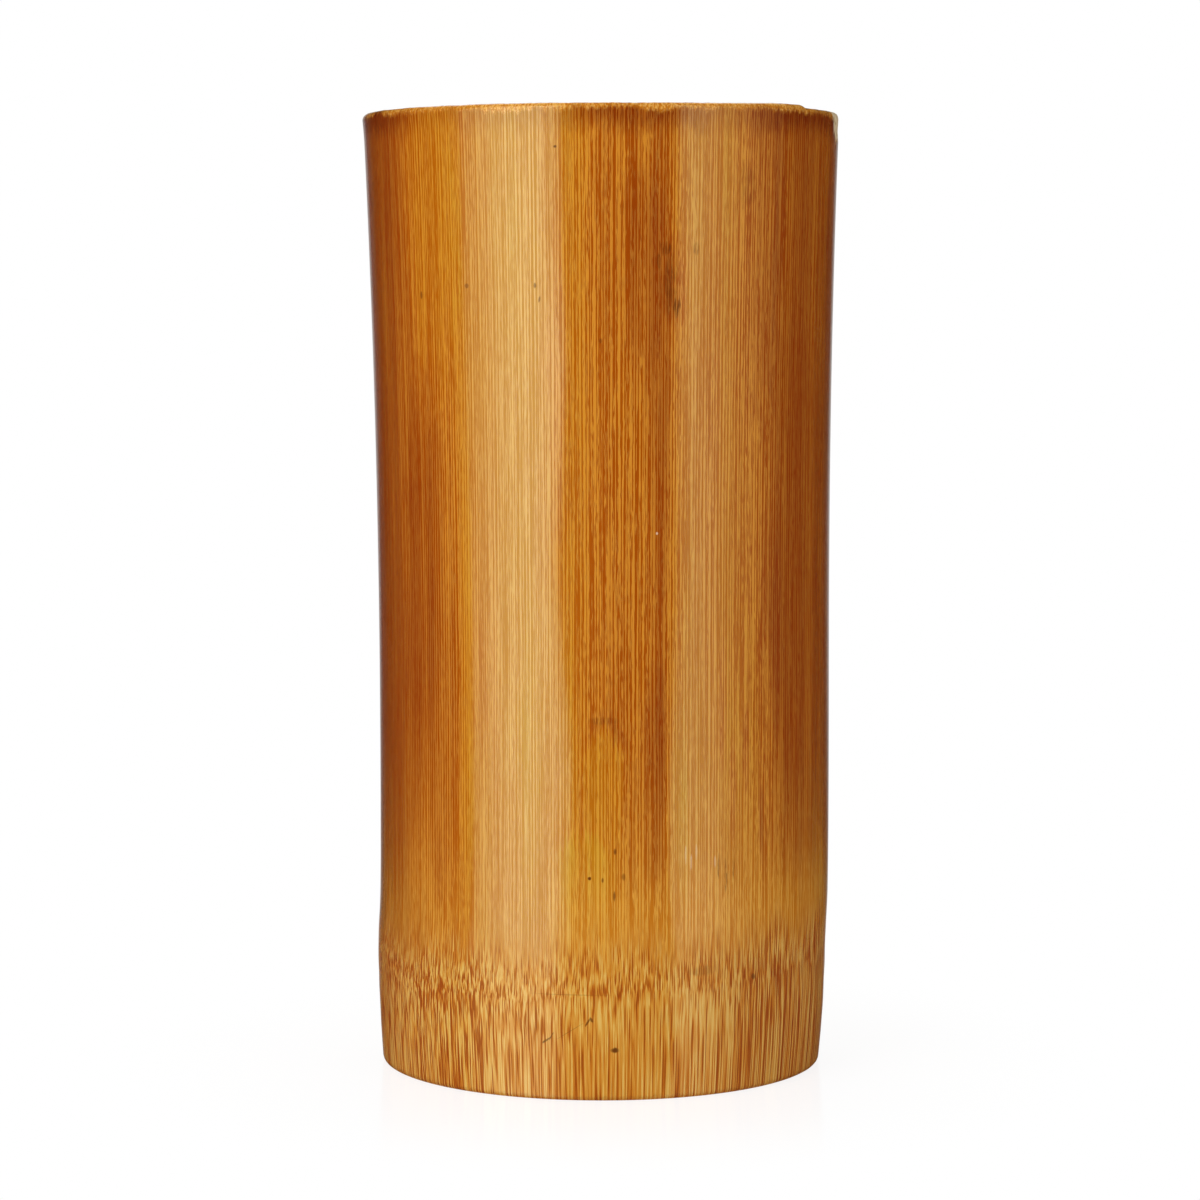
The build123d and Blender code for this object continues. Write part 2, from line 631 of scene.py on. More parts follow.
    def sockets(self, graph: Graph) -> dict[str, object]:
        """Work out the finish.

        Args:
            graph: The material's nodes, which get what the finish needs.

        Returns:
            The shader's inputs, by name.
        """
        place = CulmPlace(graph, self.radius)
        grain = CulmGrain(place, self.node_height, self.node_slant)
        bundles = grain.fibres(0.22, 0.75, 0.0, 1.0)
        threads = grain.fibres(0.135, 1.0, 5.0, 1.0)
        bands = grain.fibres(2.6, 0.45, 11.0)
        lines = self._lines(place, grain)
        streaks = self._streaks(place, lines)
        shine = (0.5 + 1.3 * lines).step(0.0, 1.0)
        at_node = (grain.rise + 8.0 * (bands - 0.5) + 4.0 * (bundles - 0.5)).step(9.0, 2.0)

        colour = self._internode(place, bands, streaks)
        node_light = self._node_light(place, grain, bundles, threads)
        colour = graph.blend(at_node, colour, self._node(place, node_light))
        colour = self._sawn_ends(place, bands, colour)
        fray = place.ring_noise(0.30, 1.2, 63.0, 2.0)
        pores = place.ring_noise(0.16, 0.4, 77.0, 1.0)
        broken = 0.12 + 0.88 * place.ring_noise(0.10, 1.3, 71.0).step(0.58, 0.42)
        scuffs = self._marks(place, fray, PALE_MARKS)
        colour = graph.blend(scuffs * (0.35 + pores), colour, self.mark_pale)
        chip = self._chip(place)
        colour = graph.blend(chip, colour, graph.blend(pores.step(0.32, 0.62), *self.chipped_wood))
        spots = (self._marks(place, fray, SMUDGES) * broken).most(self._marks(place, fray, PITS))
        colour = graph.blend(spots, colour, self.mark_dark)

        gloss = self.plain_gloss + self.line_gloss * shine
        node_gloss = 0.02 + self.node_gloss * node_light.step(0.15, 0.75)
        gloss = gloss + at_node * (node_gloss - gloss)
        relief = 0.45 * streaks + 0.25 * bands + 0.30 * pores
        return {
            "Base Color": colour,
            "Roughness": self.roughness + 0.16 * at_node + 0.04 * pores + 0.4 * chip,
            "Specular IOR Level": 0.5,
            "Specular Tint": (*self.lacquer, 1.0),
            "Coat Weight": gloss * (1.0 - chip.most(0.8 * scuffs.most(spots))),
            "Coat Roughness": self.roughness,
            "Coat IOR": 1.6,
            "Normal": graph.bump(relief, self.relief),
        }

    def _by_angle(self, place: CulmPlace, stops: Sequence[Point]) -> Field:
        """A value that is set at angles round the culm, in degrees."""
        turn = place.angle / (2.0 * math.pi) + 0.5
        return place.graph.level(turn, [(angle / 360.0 + 0.5, level) for angle, level in stops])

    def _lines(self, place: CulmPlace, grain: CulmGrain) -> Field:
        """The fine upright lines of the shaved wood.

        Args:
            place: Where the point lies on the culm.
            grain: The run of the fibres.

        Returns:
            Below 0 in the dark lines and above 0 in the light ones.
        """
        wide = place.ring_noise(0.13, 40.0, 2.0, 1.0) - 0.5
        fine = place.ring_noise(0.09, 9.0, 5.0, 1.0) - 0.5
        ticks = place.ring_noise(0.10, 1.4, 53.0, 1.0) - 0.5
        drift = 7.0 * place.ring_noise(2.4, 60.0, 13.0)
        comb = (self.lines * place.angle + drift).sine()
        return 0.16 * comb * (1.0 - grain.near) + 1.7 * wide + 1.3 * fine + 1.0 * ticks

    def _streaks(self, place: CulmPlace, lines: Field) -> Field:
        """How light the wood is in its fine lines, which are stronger on some sides of the culm.

        Args:
            place: Where the point lies on the culm.
            lines: The fine lines.

        Returns:
            0 in the dark lines and 1 in the light ones.
        """
        patchy = 0.45 + 1.1 * place.ring_noise(1.1, 25.0, 19.0)
        high = self._by_angle(place, self.line_strengths)
        low = self._by_angle(place, self.low_line_strengths)
        strength = (low + (high - low) * place.z.step(17.0, 32.0)) * patchy
        return (0.45 + strength * lines).step(0.24, 0.78)

    def _internode(self, place: CulmPlace, bands: Field, streaks: Field) -> Socket:
        """The colour of the stained wood above the node, with painted highlight and painted shade in its
        stain.

        Args:
            place: Where the point lies on the culm.
            bands: Broad bands along the fibres.
            streaks: The fine lines.

        Returns:
            The colour.
        """
        graph = place.graph
        patches = place.ring_noise(10.0, 36.0, 7.0)
        fringe = place.ring_noise(0.7, 5.0, 29.0)
        height = place.z + 10.0 * (bands - 0.5)
        golden = 0.25 * height.step(40.0, 26.0) + 0.60 * height.step(29.0, 19.0)
        golden = golden * self._by_angle(place, self.goldens)
        # The stain carries painted highlight and painted shade from the table by angle and from some of
        # the patches.
        stain = self._by_angle(place, self.stains_and_painted_light) + 0.50 * (bands - 0.5) + 0.35 * (patches - 0.5)
        for patch in STAINS_AND_PAINTED_HIGHLIGHTS:
            stain = stain + patch.strength * self._mask(place, patch, fringe)
        for tongue in TONGUES:
            stain = stain + self._tongue(place, tongue)
        dark = graph.ramp(stain, self.dark_wood)
        light = graph.ramp(stain, self.light_wood)
        stained = graph.blend(streaks, dark, light)
        return graph.blend(golden, stained, graph.blend(streaks, *self.golden_wood))

    def _node_light(self, place: CulmPlace, grain: CulmGrain, bundles: Field, threads: Field) -> Field:
        """How light the short fibres are at the node and in the foot.

        Args:
            place: Where the point lies on the culm.
            grain: The run of the fibres.
            bundles: Noise as wide as a bundle of fibres.
            threads: Noise as wide as a fibre.

        Returns:
            0 where they are darkest and 1 where they are lightest.
        """
        patches = place.ring_noise(4.0, 3.0, 83.0)
        low = grain.rise.step(2.5, -2.5)
        foot = grain.rise.step(-3.0, -7.0)
        strength = (0.45 + 1.1 * patches) * (0.55 + 0.45 * grain.rise.step(8.0, 1.0))
        contrast = self._by_angle(place, self.node_contrasts) * strength
        gashes = (0.40 + 0.60 * low) * bundles.step(0.51 - 0.03 * low, 0.35 - 0.05 * low)
        gashes = gashes + (1.0 - 0.50 * low) * threads.step(0.49 - 0.03 * low, 0.33 - 0.05 * low)
        flecks = (0.30 + 0.20 * low) * bundles.step(0.54, 0.74)
        flecks = flecks + (0.90 - 0.35 * low) * threads.step(0.52, 0.72)
        wander = 6.0 * place.ring_noise(2.0, 20.0, 87.0)
        pins = (self.pins * place.angle + wander).sine().step(0.45, 1.0)
        light = 0.62 + 0.25 * (patches - 0.5) + contrast * (0.95 * flecks - 1.05 * gashes)
        light = light - 0.28 * foot * pins * (0.4 + 1.2 * patches)
        for patch in NODE_PATCHES:
            light = light + patch.strength * self._mask(place, patch, bundles)
        return light

    def _node(self, place: CulmPlace, light: Field) -> Socket:
        """The colour of the wood at the node and in the foot, darkened by painted shade at the sides and
        back of the culm.

        Args:
            place: Where the point lies on the culm.
            light: How light the fibres are.

        Returns:
            The colour.
        """
        graph = place.graph
        colour = graph.ramp(light, self.node_wood)
        return graph.blend(self._by_angle(place, self.painted_node_shades), colour, self.painted_node_shade, "MULTIPLY")

    def _sawn_ends(self, place: CulmPlace, bands: Field, colour: Socket) -> Socket:
        """Darken the scorched band under the rim and the foot's edge, and bare the worn rim.

        Args:
            place: Where the point lies on the culm.
            bands: Broad bands along the fibres.
            colour: The colour without them.

        Returns:
            The colour with them.
        """
        graph = place.graph
        ragged = place.ring_noise(0.45, 1.6, 31.0) - 0.5
        hairs = place.ring_noise(0.11, 0.8, 33.0) - 0.5
        specks = place.ring_noise(0.22, 0.25, 37.0)
        depth = self.height - place.z + 2.2 * ragged + 1.5 * hairs + 2.4 * (bands - 0.5)
        scorch = depth.step(4.2, 1.1) * self._by_angle(place, self.scorches)
        colour = graph.blend(scorch, colour, self.scorched, "MULTIPLY")
        broad = place.ring_noise(3.0, 30.0, 39.0) - 0.5
        edge = self.height - place.z + self._by_angle(place, self.rim_wears)
        edge = (edge + 1.2 * ragged + 1.4 * hairs + 1.8 * broad).step(1.25, 0.45)
        worn = (specks + 0.6 * hairs).step(0.38, 0.64)
        bare = graph.blend(0.40, graph.blend(worn, *self.rim_wood), self.edge_wood)
        colour = graph.blend(0.9 * edge, colour, bare)
        # The skin is darker along the foot's bottom edge.
        foot = (place.z + 0.8 * ragged).step(0.75, 0.25)
        return graph.blend(0.35 * foot, colour, self.foot_edge_dark, "MULTIPLY")

    def _mask(self, place: CulmPlace, mark: Mark, fray: Field) -> Field:
        """Where one mark lies, from 0 to 1.

        Args:
            place: Where the point lies on the culm.
            mark: The mark.
            fray: Noise that makes its edge uneven.

        Returns:
            1 in its middle and 0 outside it.
        """
        arc = (place.angle - math.radians(mark.angle)) * self.radius
        across = arc / mark.half_width
        up = (place.z - mark.height - mark.slope * arc) / mark.half_height
        return (across * across + up * up + 1.6 * fray).step(2.2, 0.9)

    def _tongue(self, place: CulmPlace, tongue: Mark) -> Field:
        """Where a golden tongue rises from the node into the stain, with a dark fringe round its tip.

        Args:
            place: Where the point lies on the culm.
            tongue: Its middle, half width and strength, and the height and length of its rounded tip.

        Returns:
            What it adds to the stain: less inside it, and more in the fringe.
        """
        hairs = place.ring_noise(0.13, 5.0, 91.0) - 0.5
        across = (place.angle - math.radians(tongue.angle)) * (self.radius / tongue.half_width)
        up = ((place.z - tongue.height) / tongue.half_height).most(0.0)
        edge = across * across + up * up + 3.2 * hairs
        inside = edge.step(1.5, 0.5)
        fringe = up.step(0.35, 0.75) * edge.step(2.2, 1.2) * (1.0 - inside)
        return 0.5 * tongue.strength * fringe - tongue.strength * inside

    def _chip(self, place: CulmPlace) -> Field:
        """Where a splintered chip at the rim bares the pale wood.

        Args:
            place: Where the point lies on the culm.

        Returns:
            1 in the chip and 0 outside it.
        """
        splinters = place.ring_noise(0.15, 12.0, 97.0, 1.0) - 0.5
        chunks = place.ring_noise(0.8, 12.0, 99.0) - 0.5
        across = (place.angle - math.radians(self.chip_angle)) * (self.radius / self.chip_half_width)
        depth = self.chip_depth * (1.0 - across * across) + 3.5 * splinters + 3.0 * chunks
        return (depth + place.z - self.height).step(-0.12, 0.12)

    def _marks(self, place: CulmPlace, fray: Field, marks: Sequence[Mark]) -> Field:
        """Where a set of marks lies.

        Args:
            place: Where the point lies on the culm.
            fray: Noise that makes their edges uneven.
            marks: The marks.

        Returns:
            Their strength, 0 where there is none.
        """
        total = self._mask(place, marks[0], fray) * marks[0].strength
        for mark in marks[1:]:
            total = total.most(self._mask(place, mark, fray) * mark.strength)
        return total


@dataclass(frozen=True)
class SawnBamboo(Finish):
    """Sawn wall, with saw marks, and bundles of fibres as dots across the grain and lines along it."""

    slot = "sawn_bamboo"
    ground: Colour = (0.66, 0.42, 0.17)
    stained: Colour = (0.50, 0.24, 0.05)
    bundle: Colour = (0.30, 0.125, 0.032)
    pale_cut: Colour = (0.80, 0.56, 0.28)
    pore_shade: Colour = (0.55, 0.40, 0.26)
    bundle_spacing: float = 0.62

    def sockets(self, graph: Graph) -> dict[str, object]:
        """Work out the finish.

        Args:
            graph: The material's nodes, which get what the finish needs.

        Returns:
            The shader's inputs, by name.
        """
        place = CulmPlace(graph, OUTSIDE_RADIUS)
        warp = place.ring_noise(5.0, 40.0) - 0.5
        across = place.x / self.bundle_spacing + warp
        back = place.y / self.bundle_spacing + warp
        dots = graph.cells(graph.vector(across, back, place.z / 60.0)).step(0.56, 0.26)
        saw = graph.noise(graph.vector(place.x / 0.4, place.y / 26.0, place.z / 9.0), 2.0)
        fine = graph.noise(graph.vector(place.x / 0.25, place.y / 0.25, place.z / 9.0), 2.0)
        broad = place.ring_noise(6.0, 30.0, 3.0)
        outward = (place.radius + 2.0 * (broad - 0.5)).step(24.6, 26.6)
        colour = graph.blend(0.75 * outward + 0.25 * broad, self.ground, self.stained)
        colour = graph.blend(saw.step(0.40, 0.68) * 0.45, colour, self.pale_cut)
        colour = graph.blend(dots * (0.5 + 0.35 * outward), colour, self.bundle)
        colour = graph.blend(0.35 * fine, colour, self.pore_shade, "MULTIPLY")
        return {
            "Base Color": colour,
            "Roughness": 0.46 + 0.2 * fine,
            "Specular IOR Level": 0.4,
            "Normal": graph.bump(dots * 0.6 + fine * 0.4, 0.05 * MM),
        }


@dataclass(frozen=True)
class Septum(Finish):
    """The diaphragm's own surface: pale, ringed and flecked."""

    slot = "bamboo_septum"
    pale: Colour = (0.62, 0.43, 0.19)
    brown: Colour = (0.36, 0.19, 0.06)

    def sockets(self, graph: Graph) -> dict[str, object]:
        """Work out the finish.

        Args:
            graph: The material's nodes, which get what the finish needs.

        Returns:
            The shader's inputs, by name.
        """
        place = CulmPlace(graph, OUTSIDE_RADIUS)
        flat = graph.vector(place.x / 5.0, place.y / 5.0, place.z / 5.0)
        cloud = graph.noise(flat, 3.0)
        rings = graph.noise(graph.vector(place.radius / 0.9 + 2.0 * cloud, place.z / 3.0, 0.4), 2.0)
        flecks = graph.noise(graph.vector(place.x / 0.4, place.y / 0.4, place.z / 0.4), 2.0, 0.6)
        shade = 0.5 * cloud + 0.35 * rings + 0.3 * flecks
        colour = graph.blend(shade.step(0.42, 0.72), self.pale, self.brown)
        return {
            "Base Color": colour,
            "Roughness": 0.55 + 0.15 * flecks,
            "Specular IOR Level": 0.3,
            "Normal": graph.bump(0.5 * rings + 0.5 * flecks, 0.12 * MM),
        }


@dataclass(frozen=True)
class PithLining(Finish):
    """The pith side of the wall: pale, with fine upright fibres, stained near the rim."""

    slot = "bamboo_lining"
    pale: Colour = (0.66, 0.46, 0.20)
    brown: Colour = (0.46, 0.26, 0.08)
    seeped: Colour = (0.52, 0.24, 0.05)

    def sockets(self, graph: Graph) -> dict[str, object]:
        """Work out the finish.

        Args:
            graph: The material's nodes, which get what the finish needs.

        Returns:
            The shader's inputs, by name.
        """
        place = CulmPlace(graph, INSIDE_RADIUS)
        threads = place.ring_noise(0.5, 30.0, 0.0, 3.0)
        bands = place.ring_noise(4.0, 60.0, 9.0)
        cloud = place.ring_noise(9.0, 14.0, 17.0)
        shade = 0.45 * threads + 0.35 * bands + 0.3 * cloud
        colour = graph.blend(shade.step(0.38, 0.72), self.pale, self.brown)
        level = place.z + 14.0 * (bands - 0.5) + 6.0 * (threads - 0.5)
        seep = level.step(RIM_HEIGHT - 9.0, RIM_HEIGHT - 1.0)
        colour = graph.blend(0.7 * seep, colour, self.seeped)
        return {
            "Base Color": colour,
            "Roughness": 0.5 + 0.15 * threads,
            "Specular IOR Level": 0.35,
            "Normal": graph.bump(0.7 * threads + 0.3 * cloud, 0.08 * MM),
        }


def arc_line(centre: Point, radius: float, first: float, last: float) -> Line:
    """An arc in a section, as a line for a run.

    Args:
        centre: Its centre, a radius and a height.
        radius: The arc's own radius.
        first: The angle where it starts, in radians from straight outwards.
        last: The angle where it ends.

    Returns:
        What gives the point at a share of the way along it.
    """

    def at(share: float) -> Point:
        """The point at a share of the way along the arc."""
        turn = first + (last - first) * share
        return centre[0] + radius * math.cos(turn), centre[1] + radius * math.sin(turn)

    return at


def wall_line(radius_at: Callable[[float], float], first: float, last: float) -> Line:
    """A stretch of wall in a section, as a line for a run.

    Args:
        radius_at: The wall's radius at a height.
        first: The height where it starts.
        last: The height where it ends.

    Returns:
        What gives the point at a share of the way along it.
    """

    def at(share: float) -> Point:
        """The point at a share of the way along the wall."""
        height = first + (last - first) * share
        return radius_at(height), height

    return at


@dataclass(frozen=True)
class Culm:
    """The culm that every piece is cut from: its radii by height, and how it grew out of true."""

    height: float
    barrel_radius: float = 26.25 * MM
    foot_radius: float = 25.6 * MM
    mouth_radius: float = 27.5 * MM
    node_height: float = 15.0 * MM
    waist_height: float = 46.0 * MM
    foot_wall: float = 5.6 * MM
    barrel_wall: float = 5.2 * MM
    mouth_wall: float = 4.2 * MM
    skin: float = 0.4 * MM
    lining: float = 0.6 * MM
    rim_round: float = 0.7 * MM
    rim_inner_round: float = 0.4 * MM
    foot_round: float = 0.6 * MM
    ledge_width: float = 2.4 * MM
    floor_round: float = 6.0 * MM
    floor_centre: Point = (15.05 * MM, 19.26 * MM)
    bow: float = 0.17 * MM
    lean: float = 0.11 * MM
    oval: float = 0.1 * MM
    foot_shift: float = 0.2 * MM
    rim_dip: float = 0.22 * MM
    rim_wear: float = 0.07 * MM

    def outer(self, height: float) -> float:
        """The outside radius.

        Args:
            height: How far above the table.

        Returns:
            The radius of the true culm there.
        """
        up = max(height - self.waist_height, 0.0) / (self.height - self.waist_height)
        down = max(self.node_height - height, 0.0) / self.node_height
        flare = (self.mouth_radius - self.barrel_radius) * up * up
        taper = (self.barrel_radius - self.foot_radius) * down * down
        return self.barrel_radius + flare - taper

    def bore(self, height: float) -> float:
        """The inside radius.

        Args:
            height: How far above the table.

        Returns:
            The radius of the true bore there, without the floor's rounded corner.
        """
        up = max(height - self.waist_height, 0.0) / (self.height - self.waist_height)
        barrel = self.barrel_radius - self.barrel_wall
        mouth = self.mouth_radius - self.mouth_wall
        return barrel + (mouth - barrel) * up * up

    def under_skin(self, height: float) -> float:
        """The radius where the skin begins, at a height."""
        return self.outer(height) - self.skin

    def over_lining(self, height: float) -> float:
        """The radius where the lining ends, at a height."""
        return self.bore(height) + self.lining

    def recess(self, height: float) -> float:
        """The radius of the hollow under the floor, at a height."""
        return self.outer(height) - self.foot_wall

    def seat(self, height: float) -> float:
        """The radius where the diaphragm sits in the node ring, at a height."""
        return self.recess(height) + self.ledge_width

    def skin_end(self, edge_round: float) -> float:
        """The angle on a rounded edge where the skin ends, in radians from straight outwards."""
        return math.acos(1.0 - self.skin / edge_round)

    def rim_edge(self, first: float, last: float) -> Line:
        """The rounded outer edge of the rim, between two angles."""
        top = self.height - self.rim_round
        return arc_line((self.outer(top) - self.rim_round, top), self.rim_round, first, last)

    def foot_edge(self, first: float, last: float) -> Line:
        """The rounded outer edge of the foot, between two angles."""
        centre = (self.outer(self.foot_round) - self.foot_round, self.foot_round)
        return arc_line(centre, self.foot_round, first, last)

    def floor_corner(self, first: float, last: float) -> Line:
        """The rounded corner between the floor and the bore, between two angles."""
        return arc_line(self.floor_centre, self.floor_round, first, last)

    def floor_turn(self, height: float) -> float:
        """The angle on that corner at a height, in radians from straight outwards."""
        return -math.asin((self.floor_centre[1] - height) / self.floor_round)

    def grown(self, place: Vector) -> Vector:
        """Bend a true place to where the culm grew, and wear the sawn rim down there.

        Args:
            place: A place on the true body of revolution.

        Returns:
            The place on the real culm.
        """
        angle = angle_of(place)
        share = (place.z - 0.46 * self.height) / (0.52 * self.height)
        sideways = self.bow * (1.0 - 2.0 * share * share) - self.lean * math.sin(3.0 * share)
        swell = self.oval * math.sin(2.0 * angle)
        radius = math.hypot(place.x, place.y)
        moved = turned_to(angle, radius + swell * min(radius / self.foot_radius, 1.0), place.z)
        moved.x += sideways - self.foot_shift * smooth_step(place.z, 20.0 * MM, 6.0 * MM)
        moved.z -= self.rim_drop(angle) * smooth_step(place.z, 0.9 * self.height, self.height)
        return moved

    def rim_drop(self, angle: float) -> float:
        """How far the sawn rim lies below the true one, or above it where less than 0.

        Args:
            angle: The angle round the culm, in radians.

        Returns:
            The drop in metres.
        """
        turn = math.degrees(angle)
        dip = 1.0 - smooth_step(turn, 5.0, 45.0) - 0.8 * smooth_step(turn, 30.0, 50.0)
        dip += 1.5 * smooth_step(turn, 54.0, 57.5)
        spot = turned_to(angle, 1.0, 0.0)
        wear = 0.5 + 0.5 * noise.noise(spot * 11.0) + 0.35 * noise.noise(spot * 60.0)
        return self.rim_dip * dip + self.rim_wear * max(wear, 0.0)


class Side(Enum):
    """Whether a stretch of a section shows on the cup; the value is its share of the unwrap."""

    SHOWN = 1.0
    HIDDEN = 0.03


@dataclass(frozen=True)
class Run:
    """One stretch of a section, from its start, a radius and a height, to the next run's start."""

    start: Point
    cuts: int = 0
    side: Side = Side.SHOWN
    line: Line | None = None


def wall_run(
    radius_at: Callable[[float], float], first: float, last: float, cuts: int, side: Side = Side.SHOWN
) -> Run:
    """A run up or down a wall between two heights."""
    return Run((radius_at(first), first), cuts, side, wall_line(radius_at, first, last))


@dataclass
class TurnedPiece:
    """A piece of the culm: a section turned once round the axis, then carved and dressed."""

    culm: Culm
    finish: Finish
    steps: int = 54
    step_cuts: int = 7
    merge: float = 0.0005 * MM
    axis_reach: float = 0.01 * MM
    chart_margin: float = 0.002
    sharp_angle: float = 40.0
    node = ""
    closed = True

    def section(self) -> list[Run]:
        """The stretches of the section, in order round it."""
        raise NotImplementedError

    def carved(self, place: Vector) -> Vector:
        """Where a place of the true piece lies after its own relief is cut."""
        return place

    def build(self) -> bpy.types.Object:
        """Make the piece and put it on the cup.

        Returns:
            The finished object.
        """
        mesh_maker = bmesh.new()
        along = mesh_maker.verts.layers.float.new("along")
        reach = mesh_maker.verts.layers.float.new("reach")
        self._draw_section(mesh_maker, along, reach)
        self._turn(mesh_maker, along, reach)
        self._unwrap(mesh_maker, along)
        mesh_maker.verts.layers.float.remove(along)
        mesh_maker.verts.layers.float.remove(mesh_maker.verts.layers.float["reach"])
        for vertex in mesh_maker.verts:
            vertex.co = self.culm.grown(self.carved(vertex.co))
        bmesh.ops.recalc_face_normals(mesh_maker, faces=mesh_maker.faces[:])
        for face in mesh_maker.faces:
            face.smooth = True
        mesh = bpy.data.meshes.new(self.node)
        mesh_maker.to_mesh(mesh)
        mesh_maker.free()
        mesh.set_sharp_from_angle(angle=math.radians(self.sharp_angle))
        mesh.materials.append(self.finish.material())
        piece = bpy.data.objects.new(f"{self.node}_dressed", mesh)
        bpy.context.collection.objects.link(piece)
        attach(piece, "root")
        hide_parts(self.node)
        return piece

    def _draw_section(
        self,
        mesh_maker: bmesh.types.BMesh,
        along: bmesh.types.BMLayerItem,
        reach: bmesh.types.BMLayerItem,
    ) -> None:
        """Draw the section at the back of the cup, where the unwrap's seam is.

        Args:
            mesh_maker: The empty bmesh.
            along: The layer that gets each vertex's place along the unwrapped section.
            reach: The layer that gets its radius.
        """
        runs = self.section()
        starts = [Vector((0.0, *run.start)) for run in runs]
        corners = [mesh_maker.verts.new(start) for start in starts]
        ends = starts[1:] + starts[:1]
        drawn = runs if self.closed else runs[:-1]
        for index in range(len(drawn)):
            mesh_maker.edges.new((corners[index], corners[(index + 1) % len(corners)]))
        marks = [0.0]
        for index, (run, first, last) in enumerate(zip(drawn, starts, ends)):
            stretch = (last - first).length
            marks.append(marks[-1] + stretch * run.side.value)
            if not run.cuts:
                continue
            mesh_maker.edges.ensure_lookup_table()
            made = bmesh.ops.subdivide_edges(mesh_maker, edges=[mesh_maker.edges[index]], cuts=run.cuts)
            for vertex in made["geom_inner"]:
                share = (vertex.co - first).length / stretch
                vertex[along] = marks[-2] + share * stretch * run.side.value
                if run.line:
                    vertex.co = (0.0, *run.line(share))
        mesh_maker.verts.ensure_lookup_table()
        for index, mark in enumerate(marks[: len(runs)]):
            mesh_maker.verts[index][along] = mark
        for vertex in mesh_maker.verts:
            vertex[along] = vertex[along] / marks[-1]
            vertex[reach] = vertex.co.y

    def _turn(
        self,
        mesh_maker: bmesh.types.BMesh,
        along: bmesh.types.BMLayerItem,
        reach: bmesh.types.BMLayerItem,
    ) -> None:
        """Turn the section once round the axis, in coarse steps that are then divided.

        Args:
            mesh_maker: The bmesh that holds the section.
            along: Each vertex's place along the section, the same all round.
            reach: Its radius, which the divided steps are set out on.
        """
        bmesh.ops.spin(
            mesh_maker,
            geom=mesh_maker.verts[:] + mesh_maker.edges[:],
            cent=(0.0, 0.0, 0.0),
            axis=(0.0, 0.0, 1.0),
            angle=2.0 * math.pi,
            steps=self.steps,
            use_merge=True,
        )
        bmesh.ops.remove_doubles(mesh_maker, verts=mesh_maker.verts[:], dist=self.merge)
        rings = [edge for edge in mesh_maker.edges if edge.verts[0][along] == edge.verts[1][along]]
        bmesh.ops.subdivide_edges(mesh_maker, edges=rings, cuts=self.step_cuts, use_grid_fill=True)
        for vertex in mesh_maker.verts:
            vertex.co = turned_to(angle_of(vertex.co), vertex[reach], vertex.co.z)

    def _unwrap(self, mesh_maker: bmesh.types.BMesh, along: bmesh.types.BMLayerItem) -> None:
        """Lay the turned faces out flat: the angle across, the way along the section upwards.

        Args:
            mesh_maker: The turned piece, still true.
            along: Each vertex's place along the section.
        """
        chart = mesh_maker.loops.layers.uv.new("OFBake")
        half = 0.5 - self.chart_margin
        for face in mesh_maker.faces:
            middle = angle_of(face.calc_center_median())
            heights = [loop.vert[along] for loop in face.loops]
            wraps = max(heights) - min(heights) > 0.5
            for loop, height in zip(face.loops, heights):
                place = loop.vert.co
                turn = angle_of(place) if math.hypot(place.x, place.y) > self.axis_reach else middle
                if abs(turn - middle) > math.pi:
                    turn -= math.copysign(2.0 * math.pi, turn - middle)
                lifted = height + 1.0 if wraps and height < 0.5 else height
                across = 0.5 + half * turn / math.pi
                loop[chart].uv = (across, self.chart_margin + 2.0 * half * lifted)


@dataclass(frozen=True)
class Wave:
    """A shallow wave left by the scraper, which turns the surface a little to one side.

    The angles are in degrees, and the rest in metres. A positive tilt turns the surface to the right.
    """

    angle: float
    height: float
    half_width: float
    half_height: float
    tilt: float

    def lift(self, angle: float, height: float, radius: float) -> float:
        """How far the wave lifts the surface.

        Args:
            angle: The angle round the culm, in radians.
            height: How far above the table.
            radius: How far from the axis.

        Returns:
            The lift, below 0 where the surface sinks.
        """
        arc = math.radians(math.degrees(angle) - self.angle) * radius
        across = arc / self.half_width
        up = (height - self.height) / self.half_height
        return -math.radians(self.tilt) * arc * math.exp(-across * across - up * up)


